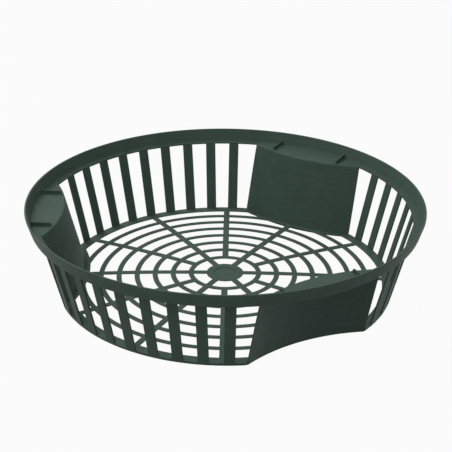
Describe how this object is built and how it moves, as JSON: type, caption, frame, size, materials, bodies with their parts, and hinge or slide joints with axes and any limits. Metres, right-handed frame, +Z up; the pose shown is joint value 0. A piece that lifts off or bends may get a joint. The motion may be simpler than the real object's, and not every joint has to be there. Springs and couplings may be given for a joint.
{
  "type": "bulb planting basket",
  "caption": "Shallow round plastic planting basket for flower bulbs, with slotted sides, three solid hand bays and an open ring-and-spoke base.",
  "frame": {"origin": "centre of the foot circle, on the ground plane", "axes": "+Z up along the basket's axis; the three solid panels are centred at 60, 180 and 300 degrees from +X"},
  "size_m": [0.3, 0.3, 0.0665],
  "materials": {
    "basket_plastic": "satin"
  },
  "bodies": {
    "root": {"basket": "basket_plastic"}
  },
  "joints": []
}
